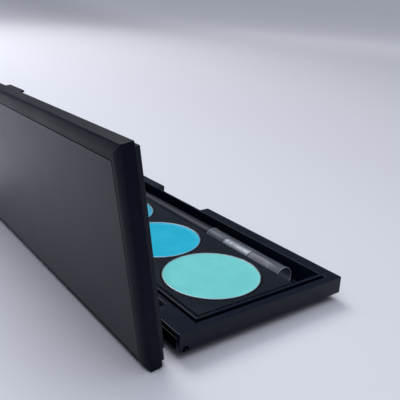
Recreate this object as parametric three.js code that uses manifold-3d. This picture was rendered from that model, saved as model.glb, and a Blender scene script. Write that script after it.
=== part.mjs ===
// A slim hinged palette of wet colour: a shallow moulded case with five round pans in a row,
// a trough along the front for a brush in a clear sleeve, and a mirrored lid on two short pins.
//
// Millimetres, +Z up. X runs along the length, the front is at -Y and the hinge at +Y.
// The origin is the centre of the flat bottom of the base. The lid is built closed, in the
// coordinates of its hinge axis, and stands open.

import * as THREE from "three";
import Module from "manifold-3d";
import { mergeVertices } from "three/addons/utils/BufferGeometryUtils.js";

const wasm = await Module();
wasm.setup();

// ---- driving dimensions -------------------------------------------------------------------

const CASE_LENGTH = 153;
const CASE_WIDTH = 53.6;
const BASE_HEIGHT = 7;
const BASE_CHAMFER_RISE = 2.3;
const BASE_CHAMFER_RUN = 2.5;
const CORNER_RADIUS = 0.3;
const CLEARANCE = 0.3;

// Rim of the base, from the outside in: a flat rim, a groove, a thin ridge, then the well.
const SIDE_RIM = 2.3;
const SIDE_GROOVE = 1.2;
const SIDE_RIDGE = 1.0;
const FRONT_RIM = 4.05;
const HINGE_RIM = 6.0;
const HINGE_GROOVE = 1.05;
const HINGE_RIDGE = 0.95;
const GROOVE_FLOOR = 3.2;
const WELL_FLOOR = 0.9;

// Thumb notch in the middle of the front rim. A thin inner wall is left standing behind it.
const THUMB_LENGTH = 29.2;
const THUMB_DEPTH = 3.45;
const THUMB_FLOOR = 2.6;

// Hinge: the axis lies inside the back of the base, with a lug of the lid at each end.
const AXIS_FROM_BACK = 1.8;
const AXIS_HEIGHT = 2.7;
const OPEN_ANGLE = 97.9;
const PIN_RADIUS = 0.75;
const BORE_RADIUS = 0.85;
const PIN_INSET = 0.15;
const PIN_TAIL = 1.1;
const LUG_FROM_END = 13.4;
const LUG_LENGTH = 14;
const LUG_RADIUS = 1.75;
const LUG_GAP = 0.35;
const LUG_SLOT_DEPTH = 4.65;
const LUG_SLOT_FLOOR = 0.6;

// Cored pocket in the back of the base outside each lug, crossed by a thin rib.
const POCKET_CHEEK = 1.3;
const POCKET_WEB = 0.9;
const POCKET_DEPTH = 2.9;
const POCKET_FLOOR = 1.9;
const POCKET_TOP = 6.5;
const RIB_FLOOR = 5.15;
const RIB_TOP = 5.5;
const RIB_DEPTH = 0.8;

// Row of pans in the tray.
const PAN_COUNT = 5;
const PAN_PITCH = 28.2;
const PAN_ROW_Y = 3.0;
const PAN_RADIUS = 13.55;
const PAN_WALL = 0.2;
const PAN_TOP = 6.95;
const PAN_FLOOR_Z = 3.3;
const PAN_SEGMENTS = 64;
const CAKE_GAP = 0.05;
const CAKE_RIM_Z = 6.9;
const CAKE_TOP_Z = 6.65;

const TRAY_TOP = 6.8;
const TRAY_PLATE = 1.2;
const TRAY_FRONT_Y = -13.0;
const TRAY_SKIRT = 1.0;
const TRAY_FOOT_Z = 1.2;
const TRAY_GAP = 0.6;
const CUP_RADIUS = 14.6;
const CUP_BORE = 13.9;
const CUP_FLOOR = 0.9;
const PUSH_HOLE_RADIUS = 5;

// Brush, lying in the trough with its tip towards -X.
const BRUSH_Y = -16.7;
const BRUSH_Z = 4.1;
const BRUSH_SEGMENTS = 32;
const SLEEVE_RADIUS = 3.15;
const SLEEVE_WALL = 0.22;
const SLEEVE_START = -64.3;
const SLEEVE_END = -31;
const TUFT_START = -62;
const FERRULE_START = -50.5;
const HANDLE_START = -38;
const HANDLE_END = 64.5;
const HANDLE_RADIUS = 2.8;
const FERRULE_RADIUS = 2.3;

// Lid, in closed position, measured from the hinge axis.
const LID_FRONT = -50.9;
const LID_BACK = 1.4;
const LID_PARTING = 6.35;
const LID_TOP = 10.2;
const LID_CHAMFER_RISE = 0.9;
const LID_CHAMFER_RUN = 1.75;
const LID_HINGE_CHAMFER_RUN = 1.2;
const LID_WALL = 1.4;
const LID_CEILING = 8.5;
const PANEL_SIDE = 2.8;
const PANEL_FRONT = 3.5;
const PANEL_BACK = 1.95;
const PANEL_RECESS = 0.8;
const PANEL_THICKNESS = 0.5;
const PANEL_GAP = 0.15;
const PANEL_CORNER = 0.8;

// Frame inside the lid. It stands proud of the lid's edge and carries the mirror and the lugs.
const FRAME_FACE = 4.4;
const FRAME_INSET = 1.7;
const FRAME_TOP = 8.2;
const FRAME_RELIEF_DEPTH = 0.4;
const FRAME_RELIEF_FRONT = -1.8;
const MIRROR_BORDER = 4.5;
const MIRROR_FACE = 5.7;
const MIRROR_THICKNESS = 1.0;
const CATCH_LENGTH = 12;
const CATCH_THICKNESS = 0.6;
const CATCH_TIP = 2.4;

const halfLength = CASE_LENGTH / 2;
const halfWidth = CASE_WIDTH / 2;
const axisY = halfWidth - AXIS_FROM_BACK;
const lugOuter = halfLength - LUG_FROM_END;
const lugInner = lugOuter - LUG_LENGTH;
const wellX = halfLength - SIDE_RIM - SIDE_GROOVE - SIDE_RIDGE;
const wellFront = -halfWidth + FRONT_RIM;
const wellBack = halfWidth - HINGE_RIM - HINGE_GROOVE - HINGE_RIDGE;

// ---- solids -------------------------------------------------------------------------------

function solid(geometry) {
  const bare = geometry.index ? geometry.toNonIndexed() : geometry.clone();
  bare.deleteAttribute("normal");
  bare.deleteAttribute("uv");
  const welded = mergeVertices(bare, 1e-4);
  return new wasm.Manifold(new wasm.Mesh({
    numProp: 3,
    vertProperties: new Float32Array(welded.attributes.position.array),
    triVerts: new Uint32Array(welded.index.array),
  }));
}

function block(x0, x1, y0, y1, z0, z1) {
  const geometry = new THREE.BoxGeometry(x1 - x0, y1 - y0, z1 - z0);
  geometry.translate((x0 + x1) / 2, (y0 + y1) / 2, (z0 + z1) / 2);
  return solid(geometry);
}

function roundedRectangle(x0, x1, y0, y1, radius) {
  const shape = new THREE.Shape();
  shape.moveTo(x0 + radius, y0);
  shape.lineTo(x1 - radius, y0);
  shape.absarc(x1 - radius, y0 + radius, radius, -Math.PI / 2, 0);
  shape.lineTo(x1, y1 - radius);
  shape.absarc(x1 - radius, y1 - radius, radius, 0, Math.PI / 2);
  shape.lineTo(x0 + radius, y1);
  shape.absarc(x0 + radius, y1 - radius, radius, Math.PI / 2, Math.PI);
  shape.lineTo(x0, y0 + radius);
  shape.absarc(x0 + radius, y0 + radius, radius, Math.PI, Math.PI * 1.5);
  return shape;
}

function roundedBlock(x0, x1, y0, y1, z0, z1, radius, curveSegments = 5) {
  const shape = roundedRectangle(x0, x1, y0, y1, radius);
  const geometry = new THREE.ExtrudeGeometry(shape, { depth: z1 - z0, bevelEnabled: false, curveSegments });
  geometry.translate(0, 0, z0);
  return solid(geometry);
}

// An outline drawn in Y and Z, extruded along X.
function alongX(outline, x0, x1) {
  const shape = new THREE.Shape(outline.map(([y, z]) => new THREE.Vector2(y, z)));
  const geometry = new THREE.ExtrudeGeometry(shape, { depth: x1 - x0, bevelEnabled: false });
  const yAxis = new THREE.Vector3(0, 1, 0);
  const zAxis = new THREE.Vector3(0, 0, 1);
  const xAxis = new THREE.Vector3(1, 0, 0);
  geometry.applyMatrix4(new THREE.Matrix4().makeBasis(yAxis, zAxis, xAxis));
  geometry.translate(x0, 0, 0);
  return solid(geometry);
}

// An outline drawn in X and Z, extruded along Y.
function alongY(outline, y0, y1) {
  const shape = new THREE.Shape(outline.map(([x, z]) => new THREE.Vector2(x, z)));
  const geometry = new THREE.ExtrudeGeometry(shape, { depth: y1 - y0, bevelEnabled: false });
  const xAxis = new THREE.Vector3(1, 0, 0);
  const zAxis = new THREE.Vector3(0, 0, 1);
  const backwards = new THREE.Vector3(0, -1, 0);
  geometry.applyMatrix4(new THREE.Matrix4().makeBasis(xAxis, zAxis, backwards));
  geometry.translate(0, y1, 0);
  return solid(geometry);
}

function rodAlongX(x0, x1, y, z, radius, segments = 24) {
  const geometry = new THREE.CylinderGeometry(radius, radius, x1 - x0, segments);
  geometry.rotateZ(-Math.PI / 2);
  geometry.translate((x0 + x1) / 2, y, z);
  return solid(geometry);
}

// Revolves [radius, height] points about a vertical line through (x, y).
function turned(profile, x, y, segments) {
  const geometry = new THREE.LatheGeometry(profile.map(([r, z]) => new THREE.Vector2(r, z)), segments);
  geometry.rotateX(Math.PI / 2);
  geometry.translate(x, y, 0);
  return solid(geometry);
}

// Revolves [radius, x] points about the brush's own line, parallel to X.
function turnedAlongBrush(profile) {
  const points = profile.map(([r, x]) => new THREE.Vector2(r, x));
  const geometry = new THREE.LatheGeometry(points, BRUSH_SEGMENTS);
  geometry.rotateZ(-Math.PI / 2);
  geometry.translate(0, BRUSH_Y, BRUSH_Z);
  return solid(geometry);
}

// A section from a to b whose corners at the height `cut` are taken off, up to the shoulder.
function chamferedSection(a, b, flat, shoulder, cut, runA, runB) {
  return [[a, flat], [a, shoulder], [a + runA, cut], [b - runB, cut], [b, shoulder], [b, flat]];
}

// A full-length box from y0 to y1 with its edges at the height `cut` taken off all round.
function chamferedBlock(y0, y1, flat, cut, rise, run, backRun = run) {
  const shoulder = cut + Math.sign(flat - cut) * rise;
  const acrossWidth = chamferedSection(y0, y1, flat, shoulder, cut, run, backRun);
  const acrossLength = chamferedSection(-halfLength, halfLength, flat, shoulder, cut, run, run);
  const lengthwise = alongX(acrossWidth, -halfLength, halfLength);
  const crosswise = alongY(acrossLength, y0, y1);
  const [z0, z1] = [Math.min(flat, cut), Math.max(flat, cut)];
  const plan = roundedBlock(-halfLength, halfLength, y0, y1, z0, z1, CORNER_RADIUS);
  return lengthwise.intersect(crosswise).intersect(plan);
}

function mirrored(build) {
  return [-1, 1].map((side) => build(side));
}

// Orders two X values measured from the middle, for the piece on the given side.
function spanX(side, near, far) {
  return side < 0 ? [-far, -near] : [near, far];
}

// ---- base ---------------------------------------------------------------------------------

function lidGroove() {
  const outerX = halfLength - SIDE_RIM;
  const innerX = outerX - SIDE_GROOVE;
  const backOuter = halfWidth - HINGE_RIM;
  const backInner = backOuter - HINGE_GROOVE;
  const front = wellFront - 0.1;
  const outer = block(-outerX, outerX, front, backOuter, GROOVE_FLOOR, BASE_HEIGHT + 1);
  const inner = block(-innerX, innerX, front - 1, backInner, GROOVE_FLOOR - 1, BASE_HEIGHT + 2);
  return outer.subtract(inner);
}

function backPocket(side) {
  const outer = halfLength - POCKET_CHEEK;
  const inner = lugOuter + LUG_GAP + POCKET_WEB;
  const [x0, x1] = spanX(side, inner, outer);
  const open = halfWidth + 1;
  const pocket = block(x0, x1, halfWidth - POCKET_DEPTH, open, POCKET_FLOOR, POCKET_TOP);
  const rib = block(x0 - 1, x1 + 1, halfWidth - RIB_DEPTH, open + 1, RIB_FLOOR, RIB_TOP);
  return pocket.subtract(rib);
}

function lugSlot(side) {
  const [x0, x1] = spanX(side, lugInner - LUG_GAP, lugOuter + LUG_GAP);
  return block(x0, x1, halfWidth - LUG_SLOT_DEPTH, halfWidth + 1, LUG_SLOT_FLOOR, BASE_HEIGHT + 1);
}

// The pin goes in from the end of the case, through the pocket, and stops in the web.
function pinBore(side) {
  const [x0, x1] = spanX(side, lugInner - LUG_GAP - PIN_TAIL - CLEARANCE, halfLength + 1);
  return rodAlongX(x0, x1, axisY, AXIS_HEIGHT, BORE_RADIUS);
}

function baseShell() {
  let shell = chamferedBlock(-halfWidth, halfWidth, BASE_HEIGHT, 0, BASE_CHAMFER_RISE, BASE_CHAMFER_RUN);
  shell = shell.subtract(block(-wellX, wellX, wellFront, wellBack, WELL_FLOOR, BASE_HEIGHT + 1));
  shell = shell.subtract(lidGroove());
  const thumb = THUMB_LENGTH / 2;
  const outside = -halfWidth - 1;
  shell = shell.subtract(block(-thumb, thumb, outside, -halfWidth + THUMB_DEPTH, THUMB_FLOOR, BASE_HEIGHT + 1));
  for (const side of [-1, 1]) {
    shell = shell.subtract(backPocket(side));
    shell = shell.subtract(lugSlot(side));
    shell = shell.subtract(pinBore(side));
  }
  return shell;
}

function hingePin(side) {
  const [x0, x1] = spanX(side, lugInner - LUG_GAP - PIN_TAIL, lugOuter + LUG_GAP + POCKET_WEB - PIN_INSET);
  return rodAlongX(x0, x1, axisY, AXIS_HEIGHT, PIN_RADIUS);
}

// ---- tray, pans and colours ---------------------------------------------------------------

const panCentres = Array.from({ length: PAN_COUNT }, (_, i) => (i - (PAN_COUNT - 1) / 2) * PAN_PITCH);

function panTray() {
  const x = wellX - TRAY_GAP;
  const back = wellBack - TRAY_GAP;
  const plateZ = TRAY_TOP - TRAY_PLATE;
  const outside = block(-x, x, TRAY_FRONT_Y, back, TRAY_FOOT_Z, TRAY_TOP);
  const hollowX = x - TRAY_SKIRT;
  const hollow = block(-hollowX, hollowX, TRAY_FRONT_Y + TRAY_SKIRT, back - TRAY_SKIRT, TRAY_FOOT_Z - 1, plateZ);
  let tray = outside.subtract(hollow);
  const cupBottom = PAN_FLOOR_Z - 0.1 - CUP_FLOOR;
  for (const centre of panCentres) {
    const cup = turned([[0, cupBottom], [CUP_RADIUS, cupBottom], [CUP_RADIUS, plateZ + 0.5], [0, plateZ + 0.5]],
      centre, PAN_ROW_Y, PAN_SEGMENTS);
    tray = tray.add(cup.intersect(outside));
  }
  const pocketFloor = cupBottom + CUP_FLOOR;
  for (const centre of panCentres) {
    const pocket = turned([[0, pocketFloor], [CUP_BORE, pocketFloor], [CUP_BORE, TRAY_TOP + 1], [0, TRAY_TOP + 1]],
      centre, PAN_ROW_Y, PAN_SEGMENTS);
    const pushHole = turned([[0, 0], [PUSH_HOLE_RADIUS, 0], [PUSH_HOLE_RADIUS, TRAY_TOP], [0, TRAY_TOP]],
      centre, PAN_ROW_Y, PAN_SEGMENTS / 2);
    tray = tray.subtract(pocket).subtract(pushHole);
  }
  return tray;
}

function pan(centre) {
  const inside = PAN_RADIUS - PAN_WALL;
  const floor = PAN_FLOOR_Z + PAN_WALL;
  const profile = [
    [0, PAN_FLOOR_Z], [PAN_RADIUS, PAN_FLOOR_Z], [PAN_RADIUS, PAN_TOP],
    [inside, PAN_TOP], [inside, floor], [0, floor],
  ];
  return turned(profile, centre, PAN_ROW_Y, PAN_SEGMENTS);
}

// The poured colour climbs a little way up the wall of its pan.
function colourCake(centre) {
  const radius = PAN_RADIUS - PAN_WALL - CAKE_GAP;
  const bottom = PAN_FLOOR_Z + PAN_WALL + CAKE_GAP;
  const profile = [
    [0, bottom], [radius, bottom], [radius, CAKE_RIM_Z],
    [radius - 0.6, CAKE_TOP_Z + 0.04], [radius - 1.2, CAKE_TOP_Z], [0, CAKE_TOP_Z],
  ];
  return turned(profile, centre, PAN_ROW_Y, PAN_SEGMENTS);
}

// ---- brush --------------------------------------------------------------------------------

function brushHandle() {
  const profile = [
    [0, HANDLE_START], [HANDLE_RADIUS - 0.3, HANDLE_START], [HANDLE_RADIUS, HANDLE_START + 0.8],
    [HANDLE_RADIUS, SLEEVE_END + 20], [HANDLE_RADIUS - 0.5, HANDLE_END - 12],
    [HANDLE_RADIUS - 0.7, HANDLE_END - 2], [HANDLE_RADIUS - 1.2, HANDLE_END - 0.5], [0, HANDLE_END],
  ];
  return turnedAlongBrush(profile);
}

function brushFerrule() {
  const end = HANDLE_START - CLEARANCE;
  const start = FERRULE_START + CLEARANCE;
  const profile = [
    [0, start], [FERRULE_RADIUS - 0.15, start], [FERRULE_RADIUS, start + 1],
    [FERRULE_RADIUS, end - 4.6], [FERRULE_RADIUS - 0.25, end - 4.2], [FERRULE_RADIUS, end - 3.8],
    [FERRULE_RADIUS, end - 2.8], [FERRULE_RADIUS - 0.25, end - 2.4], [FERRULE_RADIUS, end - 2],
    [FERRULE_RADIUS, end], [0, end],
  ];
  return turnedAlongBrush(profile);
}

function brushTuft() {
  const length = FERRULE_START - TUFT_START;
  const profile = [[0, TUFT_START]];
  for (let i = 1; i <= 8; i += 1) {
    const t = i / 8;
    profile.push([Math.sin(t * Math.PI / 2) * (FERRULE_RADIUS - 0.1), TUFT_START + length * 0.28 * t ** 1.6]);
  }
  profile.push([FERRULE_RADIUS - 0.3, FERRULE_START], [0, FERRULE_START]);
  return turnedAlongBrush(profile);
}

function brushSleeve() {
  const bore = SLEEVE_RADIUS - SLEEVE_WALL;
  const profile = [
    [bore, SLEEVE_START], [SLEEVE_RADIUS, SLEEVE_START], [SLEEVE_RADIUS, SLEEVE_END],
    [bore, SLEEVE_END], [bore, SLEEVE_START],
  ];
  return turnedAlongBrush(profile);
}

// ---- lid ----------------------------------------------------------------------------------

const panelEdges = {
  x: halfLength - PANEL_SIDE,
  front: LID_FRONT + PANEL_FRONT,
  back: LID_BACK - PANEL_BACK,
};

function lidShell() {
  const outside = chamferedBlock(LID_FRONT, LID_BACK, LID_PARTING, LID_TOP,
    LID_CHAMFER_RISE, LID_CHAMFER_RUN, LID_HINGE_CHAMFER_RUN);
  const cavityX = halfLength - LID_WALL;
  const cavity = block(-cavityX, cavityX, LID_FRONT + LID_WALL, LID_BACK - LID_WALL, LID_PARTING - 1, LID_CEILING);
  const { x, front, back } = panelEdges;
  const recess = roundedBlock(-x, x, front, back, LID_TOP - PANEL_RECESS, LID_TOP + 1, PANEL_CORNER);
  return outside.subtract(cavity).subtract(recess);
}

function lidPanel() {
  const { x, front, back } = panelEdges;
  const side = x - PANEL_GAP;
  const radius = PANEL_CORNER - PANEL_GAP;
  return roundedBlock(-side, side, front + PANEL_GAP, back - PANEL_GAP, LID_TOP - PANEL_THICKNESS, LID_TOP, radius);
}

// Round about the pin, with a shank that rises to the frame.
function lidLug(side) {
  const [x0, x1] = spanX(side, lugInner, lugOuter);
  const shank = [[-LUG_RADIUS, 0], [LID_BACK, 0], [LID_BACK, FRAME_FACE + 1], [-LUG_RADIUS, FRAME_FACE + 1]];
  return alongX(shank, x0, x1).add(rodAlongX(x0, x1, 0, 0, LUG_RADIUS, 32));
}

// The frame's face is cut back along the hinge, so the back edge of the base can pass it.
function hingeRelief(x) {
  return block(-x, x, FRAME_RELIEF_FRONT, LID_BACK + 1, FRAME_FACE - 1, FRAME_FACE + FRAME_RELIEF_DEPTH);
}

function frameMould() {
  const x = halfLength - FRAME_INSET;
  const front = LID_FRONT + FRAME_INSET;
  const proud = roundedBlock(-x, x, front, LID_BACK, FRAME_FACE, LID_PARTING - CLEARANCE, CORNER_RADIUS);
  const back = LID_BACK - LID_WALL - CLEARANCE;
  const core = roundedBlock(-x, x, front, back, FRAME_FACE + 0.5, FRAME_TOP, CORNER_RADIUS);
  let frame = proud.add(core).subtract(hingeRelief(x + 1));
  const mirrorX = x - MIRROR_BORDER;
  const mirrorFloor = MIRROR_FACE + MIRROR_THICKNESS + CLEARANCE;
  const mirrorFront = front + MIRROR_BORDER;
  const mirrorBack = LID_BACK - MIRROR_BORDER - LID_WALL;
  frame = frame.subtract(block(-mirrorX, mirrorX, mirrorFront, mirrorBack, FRAME_FACE - 1, mirrorFloor));
  const half = CATCH_LENGTH / 2;
  frame = frame.add(block(-half, half, front, front + CATCH_THICKNESS, CATCH_TIP, FRAME_FACE + 1));
  for (const lug of mirrored(lidLug)) frame = frame.add(lug);
  for (const side of [-1, 1]) {
    const [x0, x1] = spanX(side, lugInner - 1, lugOuter + 1);
    frame = frame.subtract(rodAlongX(x0, x1, 0, 0, BORE_RADIUS));
  }
  return frame;
}

function mirrorGlass() {
  const x = halfLength - FRAME_INSET - MIRROR_BORDER - CLEARANCE;
  const front = LID_FRONT + FRAME_INSET + MIRROR_BORDER + CLEARANCE;
  const back = LID_BACK - MIRROR_BORDER - LID_WALL - CLEARANCE;
  return block(-x, x, front, back, MIRROR_FACE, MIRROR_FACE + MIRROR_THICKNESS);
}

// ---- assembly -----------------------------------------------------------------------------

const finishes = {
  case_black: new THREE.MeshStandardMaterial({ color: 0x23262d, roughness: 0.45 }),
  panel_black: new THREE.MeshStandardMaterial({ color: 0x2c2e33, roughness: 0.5 }),
  tray_black: new THREE.MeshStandardMaterial({ color: 0x272d33, roughness: 0.6 }),
  steel: new THREE.MeshStandardMaterial({ color: 0xb8bcc2, roughness: 0.35, metalness: 1 }),
  mirror: new THREE.MeshStandardMaterial({ color: 0xe8ecef, roughness: 0.03, metalness: 1 }),
  handle: new THREE.MeshStandardMaterial({ color: 0x1c1f24, roughness: 0.35 }),
  bristle: new THREE.MeshStandardMaterial({ color: 0xb9b4b6, roughness: 0.8 }),
  sleeve: new THREE.MeshStandardMaterial({ color: 0xdfe6ee, roughness: 0.2, transparent: true, opacity: 0.35 }),
};

const colours = [0x7fd0cf, 0x2fb2d6, 0x3f8fb4, 0x4f74bd, 0x6a62b4];

function part(name, body, material) {
  const { numProp, vertProperties, triVerts } = body.getMesh();
  const geometry = new THREE.BufferGeometry();
  const positions = new Float32Array((vertProperties.length / numProp) * 3);
  for (let i = 0; i < positions.length / 3; i += 1) {
    for (let k = 0; k < 3; k += 1) positions[i * 3 + k] = vertProperties[i * numProp + k];
  }
  geometry.setAttribute("position", new THREE.BufferAttribute(positions, 3));
  geometry.setIndex(Array.from(triVerts));
  geometry.computeVertexNormals();
  const mesh = new THREE.Mesh(geometry, material);
  mesh.name = name;
  return mesh;
}

const palette = new THREE.Group();
palette.add(part("base_shell", baseShell(), finishes.case_black));
palette.add(part("pan_tray", panTray(), finishes.tray_black));
panCentres.forEach((centre, i) => {
  const colour = new THREE.MeshStandardMaterial({ color: colours[i], roughness: 0.4 });
  palette.add(part(`pan_${i + 1}`, pan(centre), finishes.steel));
  palette.add(part(`colour_${i + 1}`, colourCake(centre), colour));
});
palette.add(part("brush_handle", brushHandle(), finishes.handle));
palette.add(part("brush_ferrule", brushFerrule(), finishes.steel));
palette.add(part("brush_tuft", brushTuft(), finishes.bristle));
palette.add(part("brush_sleeve", brushSleeve(), finishes.sleeve));
palette.add(part("hinge_pin_left", hingePin(-1), finishes.steel));
palette.add(part("hinge_pin_right", hingePin(1), finishes.steel));

const lid = new THREE.Group();
lid.position.set(0, axisY, AXIS_HEIGHT);
lid.rotation.x = -THREE.MathUtils.degToRad(OPEN_ANGLE);
lid.add(part("lid_shell", lidShell(), finishes.case_black));
lid.add(part("lid_panel", lidPanel(), finishes.panel_black));
lid.add(part("mirror_frame", frameMould(), finishes.case_black));
lid.add(part("mirror", mirrorGlass(), finishes.mirror));
palette.add(lid);

export default palette;
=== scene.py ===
"""The finish of a slim hinged palette of wet colour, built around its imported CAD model.

Lengths in this file are millimetres unless a name ends in _m. MM turns them into Blender's metres.
"""

import math
import random

import bpy
from mathutils import Matrix, Vector, noise


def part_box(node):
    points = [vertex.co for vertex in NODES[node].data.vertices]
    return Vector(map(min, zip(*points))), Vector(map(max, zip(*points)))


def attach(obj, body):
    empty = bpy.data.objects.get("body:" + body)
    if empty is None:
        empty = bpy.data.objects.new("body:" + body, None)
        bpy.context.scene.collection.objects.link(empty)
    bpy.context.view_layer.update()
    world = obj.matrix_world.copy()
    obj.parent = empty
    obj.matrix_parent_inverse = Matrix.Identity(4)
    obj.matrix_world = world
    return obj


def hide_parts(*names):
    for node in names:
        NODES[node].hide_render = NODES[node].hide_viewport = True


MM = 0.001
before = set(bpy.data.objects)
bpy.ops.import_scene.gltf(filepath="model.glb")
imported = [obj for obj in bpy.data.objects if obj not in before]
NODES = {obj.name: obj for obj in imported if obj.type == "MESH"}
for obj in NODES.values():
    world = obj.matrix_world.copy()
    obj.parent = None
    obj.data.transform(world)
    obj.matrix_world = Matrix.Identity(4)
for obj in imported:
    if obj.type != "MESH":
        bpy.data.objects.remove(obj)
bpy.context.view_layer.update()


# ---- shader helpers -----------------------------------------------------------------------

# Nearly all the values of a noise lie between these.
NOISE_LOW, NOISE_HIGH = 0.3, 0.7


def set_stops(color_ramp, stops, curve):
    """Gives a new colour ramp its (position, colour) stops and the curve between them."""
    color_ramp.interpolation = curve
    elements = color_ramp.elements
    for element, (position, tone) in zip((elements[0], elements[1]), (stops[0], stops[-1])):
        element.position = position
        element.color = (*tone, 1.0)
    for position, tone in stops[1:-1]:
        elements.new(position).color = (*tone, 1.0)


class Shader:
    """A material's node tree, with short calls for the few nodes used here."""

    def __init__(self, name, **sockets):
        self.material = bpy.data.materials.new(name)
        self.material.use_nodes = True
        self.tree = self.material.node_tree
        self.surface = self.tree.nodes["Principled BSDF"]
        for key, value in sockets.items():
            socket = self.surface.inputs[key.replace("_", " ").title().replace("Ior", "IOR")]
            socket.default_value = (*value, 1.0) if isinstance(value, tuple) else value
        self.place = self.node("ShaderNodeTexCoord").outputs["Object"]

    def node(self, kind, **settings):
        made = self.tree.nodes.new(kind)
        for key, value in settings.items():
            setattr(made, key, value)
        return made

    def link(self, source, target):
        self.tree.links.new(source, target)

    def stretched(self, x, y, z):
        """Object coordinates scaled unevenly, for grain that runs one way."""
        mapping = self.node("ShaderNodeMapping")
        mapping.inputs["Scale"].default_value = (x, y, z)
        self.link(self.place, mapping.inputs["Vector"])
        return mapping.outputs["Vector"]

    def noise(self, size, detail=3.0, roughness=0.55, place=None):
        """Noise whose features are about size millimetres across, from 0 to 1."""
        made = self.node("ShaderNodeTexNoise")
        made.inputs["Scale"].default_value = 1.0 / (size * MM)
        made.inputs["Detail"].default_value = detail
        made.inputs["Roughness"].default_value = roughness
        self.link(place or self.place, made.inputs["Vector"])
        return made.outputs["Fac"]

    def ramp(self, value, stops, curve="EASE"):
        """A smooth ramp through (position, colour) stops."""
        made = self.node("ShaderNodeValToRGB")
        set_stops(made.color_ramp, stops, curve)
        self.link(value, made.inputs["Fac"])
        return made.outputs["Color"]

    def blend(self, value, low, high):
        """Colour low where a noise is low and high where it is high."""
        return self.ramp(value, [(NOISE_LOW, low), (NOISE_HIGH, high)])

    def map_range(self, value, start, end, low=0.0, high=1.0):
        """A number from low to high as value goes from start to end."""
        made = self.node("ShaderNodeMapRange")
        made.inputs["From Min"].default_value = start
        made.inputs["From Max"].default_value = end
        made.inputs["To Min"].default_value = low
        made.inputs["To Max"].default_value = high
        self.link(value, made.inputs["Value"])
        return made.outputs["Result"]

    def mix(self, factor, a, b):
        """Colour a where factor is 0 and b where it is 1. Either may be a colour or a socket."""
        made = self.node("ShaderNodeMix", data_type="RGBA")
        self.link(factor, made.inputs["Factor"])
        for socket, value in ((made.inputs["A"], a), (made.inputs["B"], b)):
            if isinstance(value, tuple):
                socket.default_value = (*value, 1.0)
            else:
                self.link(value, socket)
        return made.outputs["Result"]

    def colour(self, source):
        self.link(source, self.surface.inputs["Base Color"])

    def roughness(self, value, low, high):
        """Roughness from low to high as a noise goes from low to high."""
        mapped = self.map_range(value, NOISE_LOW, NOISE_HIGH, low, high)
        self.link(mapped, self.surface.inputs["Roughness"])

    def bump(self, *layers):
        """Bump from (height socket, depth in millimetres) layers, one on another."""
        normal = None
        for height, depth in layers:
            made = self.node("ShaderNodeBump")
            made.inputs["Strength"].default_value = 1.0
            made.inputs["Distance"].default_value = depth * MM
            self.link(height, made.inputs["Height"])
            if normal is not None:
                self.link(normal, made.inputs["Normal"])
            normal = made.outputs["Normal"]
        self.link(normal, self.surface.inputs["Normal"])


# ---- materials ----------------------------------------------------------------------------

# The sizes of the soft clouds, flow marks and fine specks that moulded plastic has.
CLOUD, FLOW_MARK, SPECK = 14.0, 3.0, 0.35

# How a noise is stretched so that its streaks run along X.
FINE_STREAK = (0.1, 1.0, 1.0)
LACQUER_STREAK = (0.12, 1.0, 1.0)
LONG_CREASE = (0.35, 1.0, 1.0)


def moulded_plastic(name, dark, light, rough, grain, gloss):
    """Black moulded plastic: a fine grain, faint flow marks and slightly uneven gloss."""
    shader = Shader(name, specular_ior_level=gloss)
    cloud = shader.noise(CLOUD, 4.0)
    shader.colour(shader.blend(cloud, dark, light))
    shader.roughness(cloud, *rough)
    shader.bump((shader.noise(SPECK, 2.0), grain), (shader.noise(FLOW_MARK), grain * 1.5))
    return shader.material


def lid_plastic_painted_reflection(name, edge, face):
    """Satin black plastic with painted reflection, lighter on the lid's flat outer face than round
    it.

    The open lid leans back by about 8 degrees, so its outer face's normal has a Y of about 0.99.
    """
    shader = Shader(name, specular_ior_level=0.08)
    cloud = shader.noise(CLOUD, 4.0)
    parts = shader.node("ShaderNodeSeparateXYZ")
    shader.link(shader.node("ShaderNodeTexCoord").outputs["Normal"], parts.inputs["Vector"])
    # Painted reflection: faces whose normal points out along Y take the lighter face tone.
    outer_face_painted_reflection = shader.map_range(parts.outputs["Y"], 0.955, 0.985)
    tone = shader.blend(cloud, face, tuple(c * 1.1 for c in face))
    shader.colour(shader.mix(outer_face_painted_reflection, edge, tone))
    shader.roughness(cloud, 0.3, 0.38)
    shader.bump((shader.noise(SPECK, 2.0), 0.003), (shader.noise(FLOW_MARK), 0.006))
    return shader.material


def colour_cake(name, tone):
    """A poured cake of colour: silky, faintly mottled and paler at its rim."""
    shader = Shader(
        name, specular_ior_level=0.1, subsurface_weight=0.1, subsurface_scale=0.6 * MM
    )
    cloud = shader.noise(5.0, 4.0, 0.6)
    speck = shader.noise(0.5)
    pale = tuple(min(1.0, c * 0.9 + 0.1) for c in tone)
    soft = tuple(min(1.0, c * 1.06 + 0.01) for c in tone)
    rim = shader.node("ShaderNodeAttribute", attribute_name="rim").outputs["Fac"]
    shader.colour(shader.mix(rim, shader.blend(cloud, tone, soft), pale))
    shader.roughness(speck, 0.34, 0.5)
    shader.bump((speck, 0.012), (cloud, 0.03))
    return shader.material


def drawn_metal(name, tone, rough, along):
    """Drawn or ground metal with fine lines. along is the stretch of the lines in x, y and z."""
    shader = Shader(name, metallic=1.0)
    lines = shader.noise(0.25, roughness=0.6, place=shader.stretched(*along))
    shader.colour(shader.blend(shader.noise(2.5), tuple(c * 0.86 for c in tone), tone))
    shader.roughness(lines, *rough)
    shader.bump((lines, 0.004))
    return shader.material


def dull_lacquer(name, dark, light):
    """Black lacquer with a low sheen and faint streaks along X."""
    shader = Shader(name, specular_ior_level=0.07, coat_weight=0.03, coat_roughness=0.3)
    streak = shader.noise(1.2, roughness=0.6, place=shader.stretched(*LACQUER_STREAK))
    shader.colour(shader.blend(streak, dark, light))
    shader.roughness(streak, 0.28, 0.42)
    shader.bump((streak, 0.006))
    return shader.material


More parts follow.
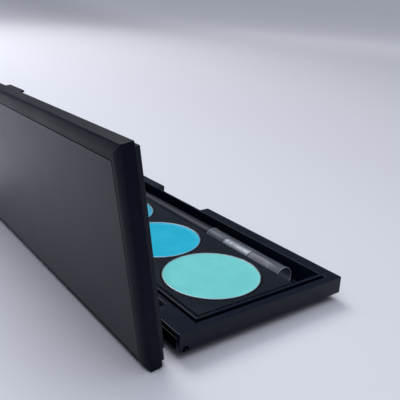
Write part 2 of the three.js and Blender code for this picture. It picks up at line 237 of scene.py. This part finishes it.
def hair(name, dark, light):
    """Brush hair, streaked along X with a soft sheen."""
    shader = Shader(name, sheen_weight=0.3)
    strand = shader.noise(0.3, roughness=0.6, place=shader.stretched(*FINE_STREAK))
    shader.colour(shader.blend(strand, dark, light))
    shader.roughness(strand, 0.5, 0.7)
    shader.bump((strand, 0.02))
    return shader.material


def clear_film(name, tone, cover):
    """Thin translucent film with long soft creases. cover is how much of the light it stops."""
    shader = Shader(name, base_color=tone, alpha=cover)
    crease = shader.noise(1.6, 4.0, 0.65, shader.stretched(*LONG_CREASE))
    shader.roughness(crease, 0.16, 0.34)
    shader.bump((crease, 0.12))
    return shader.material


def silvered_glass(name):
    """A mirror with the faintest haze."""
    shader = Shader(name, metallic=1.0)
    haze = shader.noise(30.0)
    shader.colour(shader.blend(haze, (0.88, 0.9, 0.905), (0.92, 0.93, 0.935)))
    shader.roughness(haze, 0.015, 0.035)
    return shader.material


# ---- mesh helpers -------------------------------------------------------------------------


def new_object(name, points, faces, material):
    """An object made from points in millimetres."""
    mesh = bpy.data.meshes.new(name)
    mesh.from_pydata([Vector(p) * MM for p in points], [], faces)
    mesh.materials.append(material)
    made = bpy.data.objects.new(name, mesh)
    bpy.context.scene.collection.objects.link(made)
    return made


def new_piece(name, points, faces, material, body):
    """A smooth object that rides on a CAD body."""
    piece = new_object(name, points, faces, material)
    piece.data.polygons.foreach_set("use_smooth", [True] * len(piece.data.polygons))
    piece.data.update()
    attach(piece, body)
    return piece


def revolve(profile, segments, place, closed=False):
    """Points and faces of a turned solid.

    profile runs through (radius, height) points. A radius of 0 closes it on the axis, and closed
    joins its last point to its first. place turns (radius, angle, height) into a point.
    """
    points, rings = [], []
    for radius, height in profile:
        if radius == 0:
            rings.append([len(points)])
            points.append(place(0.0, 0.0, height))
            continue
        rings.append(list(range(len(points), len(points) + segments)))
        points += [place(radius, 2 * math.pi * k / segments, height) for k in range(segments)]
    faces = []
    following = rings[1:] + rings[:1] if closed else rings[1:]
    for low, high in zip(rings, following):
        for k in range(segments):
            n = (k + 1) % segments
            quad = [low[k % len(low)], low[n % len(low)], high[n % len(high)], high[k % len(high)]]
            face = list(dict.fromkeys(quad))
            if len(face) > 2:
                faces.append(face)
    return points, faces


def about_z(x, y):
    """A place for revolve: turned about an upright axis."""
    return lambda r, a, h: (x + r * math.cos(a), y + r * math.sin(a), h)


def about_x(y, z):
    """A place for revolve: turned about an axis along X."""
    return lambda r, a, h: (h, y + r * math.cos(a), z + r * math.sin(a))


def arc(centre, radius, start, end, steps):
    """Points on an arc in a profile, with the angles in degrees."""
    turn = [math.radians(start + (end - start) * i / steps) for i in range(steps + 1)]
    return [(centre[0] + radius * math.cos(t), centre[1] + radius * math.sin(t)) for t in turn]


def box_mm(node):
    low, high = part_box(node)
    return [c / MM for c in low], [c / MM for c in high]


def upright_round(node):
    """The centre x and y, radius, bottom and top of a round node that stands upright."""
    low, high = box_mm(node)
    x, y = (low[0] + high[0]) / 2, (low[1] + high[1]) / 2
    return x, y, (high[0] - low[0]) / 2, low[2], high[2]


def lying_round(node):
    """The radius, start and end of a round node that lies along X."""
    low, high = box_mm(node)
    return (high[1] - low[1]) / 2, low[0], high[0]


def brush_line():
    """The y and z of the brush's axis."""
    low, high = box_mm("brush_sleeve")
    return (low[1] + high[1]) / 2, (low[2] + high[2]) / 2


def shade_smooth():
    """A modifier's node group that marks every face smooth."""
    group = bpy.data.node_groups.new("smooth_faces", "GeometryNodeTree")
    group.interface.new_socket("Geometry", in_out="INPUT", socket_type="NodeSocketGeometry")
    group.interface.new_socket("Geometry", in_out="OUTPUT", socket_type="NodeSocketGeometry")
    start = group.nodes.new("NodeGroupInput")
    smooth = group.nodes.new("GeometryNodeSetShadeSmooth")
    end = group.nodes.new("NodeGroupOutput")
    group.links.new(start.outputs[0], smooth.inputs["Geometry"])
    group.links.new(smooth.outputs["Geometry"], end.inputs[0])
    return group


SMOOTH = shade_smooth()
WELD_GAP = 0.002
FLAT_ANGLE, SHARP_ANGLE = math.radians(0.5), math.radians(30)


def finish_node(node, material, edge):
    """Gives a CAD node its material and small rounded edges, edge wide."""
    piece = NODES[node]
    piece.data.materials.clear()
    piece.data.materials.append(material)
    weld = piece.modifiers.new("weld", "WELD")
    weld.merge_threshold = WELD_GAP * MM
    planar = piece.modifiers.new("planar", "DECIMATE")
    planar.decimate_type = "DISSOLVE"
    planar.angle_limit = FLAT_ANGLE
    piece.modifiers.new("smooth", "NODES").node_group = SMOOTH
    rounded = piece.modifiers.new("edges", "BEVEL")
    rounded.width = edge * MM
    rounded.segments = 2
    rounded.limit_method = "ANGLE"
    rounded.angle_limit = SHARP_ANGLE
    rounded.use_clamp_overlap = False
    weighted = piece.modifiers.new("normals", "WEIGHTED_NORMAL")
    weighted.mode = "FACE_AREA"
    weighted.weight = 100


# ---- pans and colours ---------------------------------------------------------------------

ROUND_STEPS = 96
PAN_WALL = 0.2
PAN_BEND = 0.6

# The cake's middle lies CAKE_DISH below its rim. It climbs to the rim over CAKE_CLIMB, and the
# rim's highest line is CAKE_LIP in from its side. CAKE_FOOT is the slope at its lower edge.
CAKE_DISH, CAKE_CLIMB, CAKE_LIP = 0.25, 1.9, 0.14
CAKE_FOOT = 0.3

# The heights of the broad pouring waves and of the small ripples on them.
WAVE, RIPPLE = 0.05, 0.012

# The pale rim starts PALE_RIM in from the cake's side and is full PALE_FADE further out.
PALE_RIM, PALE_FADE = 0.42, 0.3

COLOURS = {
    "colour_1": (0.140, 0.530, 0.505),
    "colour_2": (0.000, 0.360, 0.500),
    "colour_3": (0.020, 0.270, 0.380),
    "colour_4": (0.030, 0.130, 0.420),
    "colour_5": (0.080, 0.080, 0.360),
}


def make_pan(index, metal):
    """A drawn round pan with a rounded lip and a radius at its floor."""
    x, y, outer, floor, top = upright_round(f"pan_{index}")
    lip = PAN_WALL / 2
    bend = (outer - PAN_BEND, floor + PAN_BEND)
    profile = [(0, floor)]
    profile += arc(bend, PAN_BEND, -90, 0, 5)
    profile += arc((outer - lip, top - lip), lip, 0, 180, 6)
    profile += arc(bend, PAN_BEND - PAN_WALL, 0, -90, 4)
    profile += [(0, floor + PAN_WALL)]
    points, faces = revolve(profile, ROUND_STEPS, about_z(x, y))
    pan = new_piece(f"round_pan_{index}", points, faces, metal, "base")
    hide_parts(f"pan_{index}")


def cake_profile(radius, foot, level, rim):
    """From the middle of the underside, round the wall and the rim, to the middle of the top."""
    profile = [(0, foot), (radius - CAKE_FOOT, foot), (radius, foot + CAKE_FOOT)]
    profile += [(radius, rim - 0.1), (radius - 0.05, rim - 0.03), (radius - CAKE_LIP, rim)]
    for step in range(1, 13):
        t = step / 12
        height = level + (rim - level) * (1 - t) ** 2.4
        profile.append((radius - CAKE_LIP - CAKE_CLIMB * t, height))
    inner = radius - CAKE_LIP - CAKE_CLIMB
    return profile + [(inner * (1 - step / 16), level) for step in range(1, 16)] + [(0, level)]


def make_cake(index, material):
    """A poured cake: level in the middle and raised at its rim, with soft pouring waves."""
    x, y, radius, foot, rim = upright_round(f"colour_{index}")
    level = rim - CAKE_DISH
    profile = cake_profile(radius, foot, level, rim)
    points, faces = revolve(profile, ROUND_STEPS, about_z(x, y))
    shaped = []
    for px, py, pz in points:
        out = math.hypot(px - x, py - y)
        if pz > level - 0.01 and out < radius - 0.1:
            wave = noise.noise(Vector((px * 0.22, py * 0.22, index * 7.3)))
            ripple = noise.noise(Vector((px * 0.9, py * 0.9, index * 3.1)))
            pz += WAVE * wave + RIPPLE * ripple
        shaped.append((px, py, pz))
    cake = new_piece(f"poured_colour_{index}", shaped, faces, material, "base")
    attribute = cake.data.attributes.new("rim", "FLOAT", "POINT")
    for value, (px, py, pz) in zip(attribute.data, shaped):
        out = math.hypot(px - x, py - y)
        uneven = 0.12 * noise.noise(Vector((px * 0.5, py * 0.5, index * 5.0)))
        value.value = max(0.0, min(1.0, (out - radius + PALE_RIM + uneven) / PALE_FADE))
    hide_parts(f"colour_{index}")


# ---- brush and sleeve ---------------------------------------------------------------------

TURNED_STEPS = 48

# The handle is full HANDLE_EASE from its front end, and loses HANDLE_TAPER of its radius until
# HANDLE_TAIL before its other end, which is a dome.
HANDLE_EASE, HANDLE_TAPER, HANDLE_TAIL = 0.5, 0.75, 2.5

# Two rolled rings, each a shallow dip round the ferrule, placed by their distance from its end.
RING_PLACES = (4.2, 2.4)
RING_WIDTH, RING_DEPTH = 0.9, 0.22

# Hairs are spread by the golden angle, in radians, so that they fill the bundle evenly.
HAIRS, HAIR_STEPS = 520, 5
GOLDEN_ANGLE = 2.399963
HAIR_THICKNESS = 0.075

# The core is CORE_SHARE of the bundle's radius and starts CORE_START behind the tuft's tip.
CORE_SHARE, CORE_START = 0.86, 1.6
CORE_STEPS = 32

# DENT and CREASE are the depths of the film's broad dents and of its fine creases.
SLEEVE_STEPS, SLEEVE_STATIONS = 64, 72
SLEEVE_WALL = 0.16
DENT, CREASE = 0.10, 0.05


def make_handle(material):
    """A round handle with an eased front edge, which tapers to a domed tail."""
    radius, start, end = lying_round("brush_handle")
    full = start + HANDLE_EASE
    length = end - start - HANDLE_EASE - HANDLE_TAIL
    profile = [(0, start), (radius - 0.35, start), (radius - 0.12, start + 0.12), (radius, full)]
    for step in range(1, 25):
        t = step / 24
        profile.append((radius - HANDLE_TAPER * t ** 1.6, full + length * t))
    tail = radius - HANDLE_TAPER
    profile += arc((0, end - tail), tail, 0, 90, 8)[1:-1] + [(0, end)]
    points, faces = revolve(profile, TURNED_STEPS, about_x(*brush_line()))
    handle = new_piece("handle_lacquered", points, faces, material, "brush")
    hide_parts("brush_handle")


def make_ferrule(metal):
    """A metal ferrule with a turned-in mouth and two rolled rings."""
    radius, start, end = lying_round("brush_ferrule")
    profile = [(0, start + 0.4), (radius - 0.4, start + 0.4), (radius - 0.3, start)]
    profile += [(radius - 0.08, start + 0.05), (radius - 0.02, start + 0.3), (radius, start + 1.2)]
    for place in RING_PLACES:
        for step in range(9):
            t = step / 8
            dip = RING_DEPTH * math.sin(math.pi * t) ** 2
            profile.append((radius - dip, end - place - RING_WIDTH / 2 + RING_WIDTH * t))
    profile += [(radius, end - 0.15), (radius - 0.1, end), (0, end)]
    points, faces = revolve(profile, TURNED_STEPS, about_x(*brush_line()))
    ferrule = new_piece("ferrule_rolled", points, faces, metal, "brush")
    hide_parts("brush_ferrule")


def tuft_core(bundle, start, end):
    """A solid core that fills the middle of the tuft, with a round front."""
    core, front = bundle * CORE_SHARE, start + CORE_START
    profile = [(0, front)]
    for k in range(1, 7):
        profile.append((core * math.sin(math.pi / 2 * k / 6), front + 0.45 * k * k / 6))
    profile += [(core, end + 0.2), (0, end + 0.2)]
    return revolve(profile, CORE_STEPS, about_x(*brush_line()))


def make_tuft(material):
    """A round-tipped tuft: some hundreds of tapered hairs that leave the ferrule in a bundle."""
    radius, start, end = lying_round("brush_tuft")
    y, z = brush_line()
    bundle, length = radius - 0.12, end - start
    rng = random.Random(7)
    points, faces = tuft_core(bundle, start, end)
    for k in range(HAIRS):
        spread = math.sqrt((k + 0.5) / HAIRS)
        angle = k * GOLDEN_ANGLE + rng.uniform(-0.1, 0.1)
        base = spread * bundle * 0.93
        reach = length * (1.0 - 0.2 * spread ** 2.6) - rng.uniform(0, 0.5)
        bow = 0.1 * spread + rng.uniform(-0.03, 0.05)
        rings = []
        for step in range(HAIR_STEPS + 1):
            t = step / HAIR_STEPS
            gather = 0.42 * base * max(0.0, t - 0.55) ** 1.7
            out = base + bow * math.sin(math.pi * t) - gather
            cy, cz = y + out * math.cos(angle), z + out * math.sin(angle)
            width = HAIR_THICKNESS * (1 - 0.75 * t ** 2)
            ring = []
            for corner in range(4):
                turn = angle + math.pi / 2 * corner
                across, up = width * math.cos(turn), width * math.sin(turn)
                ring.append(len(points))
                points.append((end + 0.1 - reach * t, cy + across, cz + up))
            rings.append(ring)
        faces.append(rings[0][::-1])
        for near, far in zip(rings, rings[1:]):
            for c in range(4):
                n = (c + 1) % 4
                faces.append([near[c], near[n], far[n], far[c]])
        faces.append(rings[-1])
    tuft = new_piece("tuft_of_hair", points, faces, material, "brush")
    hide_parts("brush_tuft")


def make_sleeve(film, edge):
    """A thin film tube, slightly out of round and creased, with a bead at its open ends."""
    radius, start, end = lying_round("brush_sleeve")
    y, z = brush_line()
    outer = radius - 0.02
    stations = [start + (end - start) * i / SLEEVE_STATIONS for i in range(1, SLEEVE_STATIONS)]
    outside = [(outer - 0.05, start), (outer, start + 0.05)] + [(outer, s) for s in stations]
    outside += [(outer, end - 0.05), (outer - 0.05, end)]
    inside = [(outer - SLEEVE_WALL, h) for r, h in reversed(outside)]

    def place(r, a, h):
        """A point of the tube, dented and creased inwards except at its two ends."""
        t = (h - start) / (end - start)
        dent = noise.noise(Vector((h * 0.16, math.cos(a) * 1.1, math.sin(a) * 1.1)))
        crease = noise.noise(Vector((h * 0.5, math.cos(a) * 3.2, math.sin(a) * 3.2 + 9.0)))
        depth = DENT * max(0.0, dent) + CREASE * max(0.0, crease)
        depth *= min(1.0, 8 * t) * min(1.0, 8 * (1 - t))
        return (h, y + (r - depth) * math.cos(a), z + (r - depth) * math.sin(a))

    points, faces = revolve(outside + inside, SLEEVE_STEPS, place, closed=True)
    sleeve = new_piece("sleeve_of_film", points, faces, film, "sleeve")
    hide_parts("brush_sleeve")
    round_edge = arc((0, 0), SLEEVE_WALL * 0.62, 0, 360, 12)
    for name, at in (("sleeve_end_at_tip", start), ("sleeve_end_at_handle", end)):
        bead = [(outer - SLEEVE_WALL / 2 + r, at + h) for r, h in round_edge]
        points, faces = revolve(bead, SLEEVE_STEPS, about_x(y, z))
        rim = new_piece(name, points, faces, edge, "sleeve")
        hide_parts("brush_sleeve")


# ---- the whole object ---------------------------------------------------------------------


def finish_case():
    """The base, the tray, the lid and its parts, and the hinge pins."""
    case = moulded_plastic(
        "case_black", (0.002, 0.005, 0.013), (0.003, 0.006, 0.015), (0.16, 0.24), 0.004, 0.18
    )
    # The lid's edge and face tones are a painted reflection: darker sides and chamfers, a lighter
    # outer face.
    lid = lid_plastic_painted_reflection("case_black_lid", (0.001, 0.003, 0.010), (0.004, 0.004, 0.009))
    panel = moulded_plastic(
        "panel_black", (0.002, 0.002, 0.008), (0.003, 0.003, 0.010), (0.18, 0.24), 0.003, 0.16
    )
    tray = moulded_plastic(
        "tray_black", (0.004, 0.007, 0.013), (0.005, 0.009, 0.015), (0.17, 0.25), 0.005, 0.2
    )
    pin_metal = drawn_metal("pin_steel", (0.04, 0.042, 0.048), (0.25, 0.4), (1.0, 0.2, 0.2))
    finish_node("base_shell", case, 0.13)
    finish_node("pan_tray", tray, 0.1)
    finish_node("lid_shell", lid, 0.07)
    finish_node("lid_panel", panel, 0.1)
    finish_node("mirror_frame", case, 0.1)
    finish_node("mirror", silvered_glass("mirror_glass"), 0.08)
    finish_node("hinge_pin_left", pin_metal, 0.12)
    finish_node("hinge_pin_right", pin_metal, 0.12)


def make_pans():
    pan_metal = drawn_metal("pan_steel", (0.4, 0.43, 0.46), (0.25, 0.4), (0.2, 0.2, 1.0))
    for index in range(1, 6):
        make_pan(index, pan_metal)
        make_cake(index, colour_cake(f"colour_cake_{index}", COLOURS[f"colour_{index}"]))


def make_brush():
    """The handle, ferrule and tuft, and the sleeve of film over them."""
    make_handle(dull_lacquer("handle_black", (0.008, 0.011, 0.017), (0.012, 0.016, 0.024)))
    make_ferrule(
        drawn_metal("ferrule_metal", (0.2, 0.21, 0.235), (0.4, 0.55), (0.2, 1.0, 1.0))
    )
    make_tuft(hair("bristle", (0.12, 0.108, 0.118), (0.24, 0.215, 0.23)))
    film = clear_film("sleeve_clear", (0.6, 0.68, 0.8), 0.06)
    make_sleeve(film, clear_film("sleeve_edge", (0.5, 0.54, 0.6), 0.5))


# ---- camera, floor and light --------------------------------------------------------------

CAMERA_PLACE = Vector((-163.05, 87.15, 76.26))
CAMERA_FORWARD = Vector((0.7569, -0.5621, -0.3338))
CAMERA_ROLL = math.radians(2.5)
CAMERA_LENS, CAMERA_SENSOR = 49.93, 36.0

# The paper's tone is painted light falloff that changes along one direction on the floor. On the
# scale of the tones, which is in metres, the middle of the base is at PAPER_SHIFT_m.
PAPER_COLOUR = (0.62, 0.626, 0.655)
PAPER_DIRECTION = (0.12, 1.0, 0.0)
PAPER_SHIFT_m = 0.96
PAPER_PAINTED_LIGHT = [
    (0.0, 0.74), (0.2, 0.64), (0.38, 0.57), (0.62, 0.72), (0.8, 0.85), (0.92, 1.01), (1.0, 1.05)
]

# The paper is flat near the object. Further out it rises gently, which keeps a horizon line out of
# the camera's view.
FLOOR_STEPS = 128
FLAT_RADII = (200, 600)
RISE_START, RISE_STEP, RISE_RINGS = 1200, 200, 24

# The brightness of the surroundings by height, from the horizon at 0 to straight up at 1.
SKY_COLOUR = (0.95, 0.98, 1.12)
SKY_TONES = [(0.0, 0.34), (0.12, 0.26), (0.3, 0.11), (0.5, 0.11), (0.95, 1.45)]

LIGHT_PLACE_m, LIGHT_TARGET_m = (0.95, -0.17, 1.1), (0.7, -0.15, 0.0)
LIGHT_SIZE_m, LIGHT_POWER = 0.8, 12.6


def graded(colour, tones):
    """Ramp stops of one colour at several brightnesses."""
    return [(position, tuple(c * tone for c in colour)) for position, tone in tones]


def make_camera():
    data = bpy.data.cameras.new("camera")
    camera = bpy.data.objects.new("camera", data)
    bpy.context.scene.collection.objects.link(camera)
    bpy.context.scene.camera = camera
    forward = CAMERA_FORWARD.normalized()
    level = forward.cross(Vector((0, 0, 1))).normalized()
    upright = level.cross(forward)
    right = level * math.cos(CAMERA_ROLL) + upright * math.sin(CAMERA_ROLL)
    up = upright * math.cos(CAMERA_ROLL) - level * math.sin(CAMERA_ROLL)
    turn = Matrix((right, up, -forward)).transposed().to_4x4()
    camera.matrix_world = Matrix.Translation(CAMERA_PLACE * MM) @ turn
    data.sensor_width = CAMERA_SENSOR
    data.lens = CAMERA_LENS
    data.clip_start = 0.005
    data.clip_end = 50.0


def make_floor():
    """A wide sheet of paper that rises gently far away, with painted light falloff darker towards
    the brush side.
    """
    shader = Shader("floor_paper", specular_ior_level=0.15)
    # Painted light falloff: the paper's brightness ramps with its place along PAPER_DIRECTION.
    across = shader.node("ShaderNodeVectorMath", operation="DOT_PRODUCT")
    across.inputs[1].default_value = PAPER_DIRECTION
    shader.link(shader.place, across.inputs[0])
    shift = shader.node("ShaderNodeMath", operation="ADD")
    shift.inputs[1].default_value = PAPER_SHIFT_m
    shader.link(across.outputs["Value"], shift.inputs[0])
    stops = graded(PAPER_COLOUR, PAPER_PAINTED_LIGHT)
    shader.colour(shader.ramp(shift.outputs["Value"], stops, "B_SPLINE"))
    shader.roughness(shader.noise(0.8), 0.86, 0.94)
    flat = [(0, 0)] + [(radius, 0) for radius in FLAT_RADII]
    rise = [
        (RISE_START + RISE_STEP * i, 1.8 * max(0, i - 2) ** 1.9) for i in range(RISE_RINGS)
    ]
    points, faces = revolve(flat + rise, FLOOR_STEPS, about_z(0, 0))
    floor = new_object("floor", points, faces, shader.material)


def make_world():
    """Soft surroundings: dim at the horizon, dark above it and bright overhead."""
    world = bpy.data.worlds.new("studio")
    bpy.context.scene.world = world
    world.use_nodes = True
    tree = world.node_tree
    place = tree.nodes.new("ShaderNodeTexCoord")
    parts = tree.nodes.new("ShaderNodeSeparateXYZ")
    ramp = tree.nodes.new("ShaderNodeValToRGB")
    tree.links.new(place.outputs["Generated"], parts.inputs["Vector"])
    tree.links.new(parts.outputs["Z"], ramp.inputs["Fac"])
    tree.links.new(ramp.outputs["Color"], tree.nodes["Background"].inputs["Color"])
    set_stops(ramp.color_ramp, graded(SKY_COLOUR, SKY_TONES), "EASE")
    tree.nodes["Background"].inputs["Strength"].default_value = 1.0


def make_light():
    """One soft square light, high up and beyond the handle's end of the case."""
    data = bpy.data.lights.new("ceiling", "AREA")
    data.shape = "RECTANGLE"
    data.size = data.size_y = LIGHT_SIZE_m
    data.energy = LIGHT_POWER
    light = bpy.data.objects.new("ceiling", data)
    bpy.context.scene.collection.objects.link(light)
    light.location = LIGHT_PLACE_m
    aim = Vector(LIGHT_TARGET_m) - Vector(LIGHT_PLACE_m)
    light.rotation_euler = aim.to_track_quat("-Z", "Y").to_euler()


bpy.context.scene.view_settings.view_transform = "Standard"
make_camera()
make_floor()
make_world()
make_light()
finish_case()
make_pans()
make_brush()
